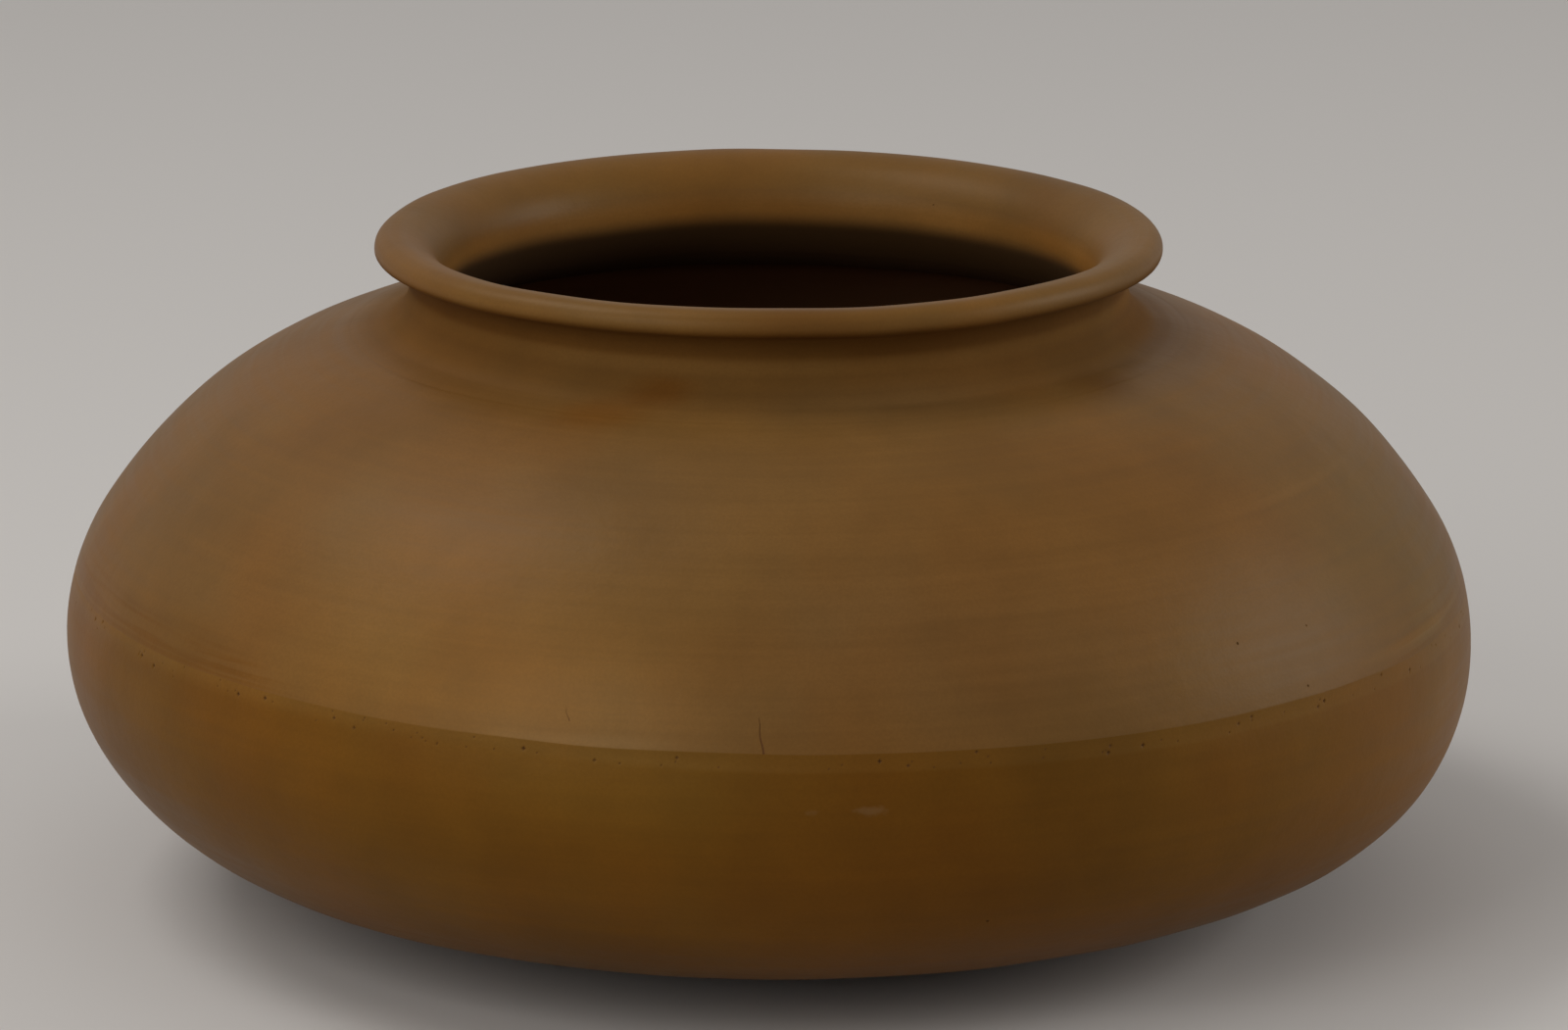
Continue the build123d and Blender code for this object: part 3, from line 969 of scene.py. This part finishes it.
class OLLA_OT_neck_collar(Operator):
    """Model the short neck, its foot smoothed out over the shoulder"""

    bl_idname = "olla.neck_collar"
    bl_label = "Neck collar"

    def execute(self, context):
        pot = Pot(context.scene)
        pen = Pen("neck_collar_wall", pot.collar_outer)
        pen.arc(pot.shoulder_centre, pot.neck_foot, step=0.0008)
        pen.arc(pot.foot_centre, (pot.neck_radius, pot.neck_start), step=0.0006)
        pen.line((pot.neck_radius, pot.neck_end))
        pen.arc(pot.hollow_centre, pot.seat_outer, step=0.0004)
        pen.line(pot.seat_inner)
        pen.arc(pot.flare_centre, (pot.mouth.throat_radius, pot.throat_high), step=0.0006)
        pen.line((pot.mouth.throat_radius, pot.throat_low))
        pen.arc(pot.throat_centre, pot.collar_inner, step=0.0008)
        pen.line(pot.collar_outer)
        piece = pen.turn(wall_clay(pot.clay))
        mark_inside(piece, pot)
        settle(piece, pot, "neck_collar")
        return {"FINISHED"}


class OLLA_OT_lip_coil(Operator):
    """Model the last coil, rolled outward over the neck"""

    bl_idname = "olla.lip_coil"
    bl_label = "Lip coil"

    def execute(self, context):
        pot = Pot(context.scene)
        pen = Pen("rolled_lip", pot.seat_outer)
        pen.arc(pot.hollow_centre, (pot.hollow_centre.x, pot.lip_underside), step=0.0005)
        pen.line((pot.edge_centre.x, pot.lip_underside))
        pen.arc(pot.edge_centre, (pot.lip_radius, pot.edge_centre.y), step=0.0004)
        pen.line((pot.lip_radius, pot.crest_centre.y), step=0.0006)
        pen.arc(pot.crest_centre, pot.flare_start, step=0.0004)
        pen.arc(pot.flare_centre, pot.seat_inner, step=0.0006)
        pen.line(pot.seat_outer)
        piece = pen.turn(lip_clay(pot.clay))
        settle(piece, pot, "lip_coil")
        return {"FINISHED"}


class OLLA_OT_stage(Operator):
    """Set up the floor, the lamps and the camera"""

    bl_idname = "olla.stage"
    bl_label = "Stage"

    # What the lamps look at
    aim = Vector((0, 0, 0.08))

    def execute(self, context):
        scene = context.scene
        stage = scene.olla_stage
        self.floor(stage)
        self.world(scene, stage)
        self.lamp("front_lamp", place=(-1.10, -1.40, 0.99), size=1.2, watts=stage.front_power)
        self.lamp("high_lamp", place=(-1.05, 0.09, 1.78), size=0.9, watts=stage.high_power)
        self.lamp("right_lamp", place=(1.86, 0.07, 0.80), size=0.9, watts=stage.right_power)
        self.camera(scene, stage)
        scene.view_settings.view_transform = "Standard"
        return {"FINISHED"}

    def floor(self, stage):
        """Lays the plain floor."""
        bpy.ops.object.select_all(action="DESELECT")
        bpy.ops.mesh.primitive_plane_add(size=14)
        floor = bpy.context.object
        floor.name = "floor"
        finish = Finish("floor_sheet")
        tone = finish.mix(finish.seen(), rgba(stage.bounce_colour), rgba(stage.floor_colour))
        inputs = {"Base Color": tone, "Roughness": 0.95, "Specular IOR Level": 0.2}
        finish.feed(finish.shader, inputs)
        floor.data.materials.append(finish.material)

    def world(self, scene, stage):
        """Gives even light, and the floor's colour behind it for the camera."""
        scene.world = bpy.data.worlds.new("studio")
        studio = Nodes(scene.world)
        light = studio.tree.nodes["Background"]
        studio.feed(light, {"Color": (1, 1, 1, 1), "Strength": stage.ambience})
        backdrop = studio.node("ShaderNodeBackground", {"Color": rgba(stage.backdrop_colour)})
        inputs = {0: studio.seen(), 1: light.outputs[0], 2: backdrop.outputs[0]}
        mix = studio.node("ShaderNodeMixShader", inputs)
        studio.feed(studio.tree.nodes["World Output"], {"Surface": mix.outputs[0]})

    def lamp(self, name, place, size, watts):
        """Hangs a square soft lamp that looks at the pot."""
        bpy.ops.object.light_add(type="AREA", location=place)
        lamp = bpy.context.object
        lamp.name = name
        lamp.data.shape = "SQUARE"
        lamp.data.size = size
        lamp.data.energy = watts
        lamp.rotation_euler = (self.aim - Vector(place)).to_track_quat("-Z", "Y").to_euler()

    def camera(self, scene, stage):
        """Stands the camera where the picture was taken."""
        place = (0, -stage.camera_distance, stage.camera_height)
        turn = (pi / 2 - stage.camera_pitch, 0, -stage.camera_yaw)
        bpy.ops.object.camera_add(location=place, rotation=turn)
        camera = bpy.context.object
        camera.name = "camera"
        camera.data.sensor_width = 36
        camera.data.lens = stage.lens * 1000
        camera.data.clip_start = 0.05
        camera.data.clip_end = 50
        scene.camera = camera


class OLLA_PT_pieces(Panel):
    """Buttons for the pieces of the olla, and the sizes and colours behind them"""

    bl_idname = "OLLA_PT_pieces"
    bl_label = "Clay olla"
    bl_space_type = "VIEW_3D"
    bl_region_type = "UI"
    bl_category = "Olla"

    def draw(self, context):
        for operator in OPERATORS:
            self.layout.operator(operator.bl_idname)
        for name, group in GROUPS.items():
            box = self.layout.box()
            for key in group.__annotations__:
                box.prop(getattr(context.scene, name), key)


OPERATORS = (
    OLLA_OT_lower_bowl,
    OLLA_OT_seam_coil,
    OLLA_OT_belly_course,
    OLLA_OT_shoulder_course,
    OLLA_OT_neck_collar,
    OLLA_OT_lip_coil,
    OLLA_OT_stage,
)
GROUPS = {
    "olla_body": OllaBody,
    "olla_mouth": OllaMouth,
    "olla_joints": OllaJoints,
    "olla_hand": OllaHand,
    "olla_clay": OllaClay,
    "olla_stage": OllaStage,
}
CLASSES = (*GROUPS.values(), *OPERATORS, OLLA_PT_pieces)


def register():
    """Registers the settings, the operators and the panel."""
    for kind in CLASSES:
        bpy.utils.register_class(kind)
    for name, group in GROUPS.items():
        setattr(Scene, name, PointerProperty(type=group))


def unregister():
    """Takes everything out again, in reverse order."""
    for name in GROUPS:
        delattr(Scene, name)
    for kind in reversed(CLASSES):
        bpy.utils.unregister_class(kind)


def main():
    """Models every piece and the stage."""
    register()
    bpy.ops.olla.lower_bowl()
    bpy.ops.olla.seam_coil()
    bpy.ops.olla.belly_course()
    bpy.ops.olla.shoulder_course()
    bpy.ops.olla.neck_collar()
    bpy.ops.olla.lip_coil()
    bpy.ops.olla.stage()


if __name__ == "__main__":
    main()
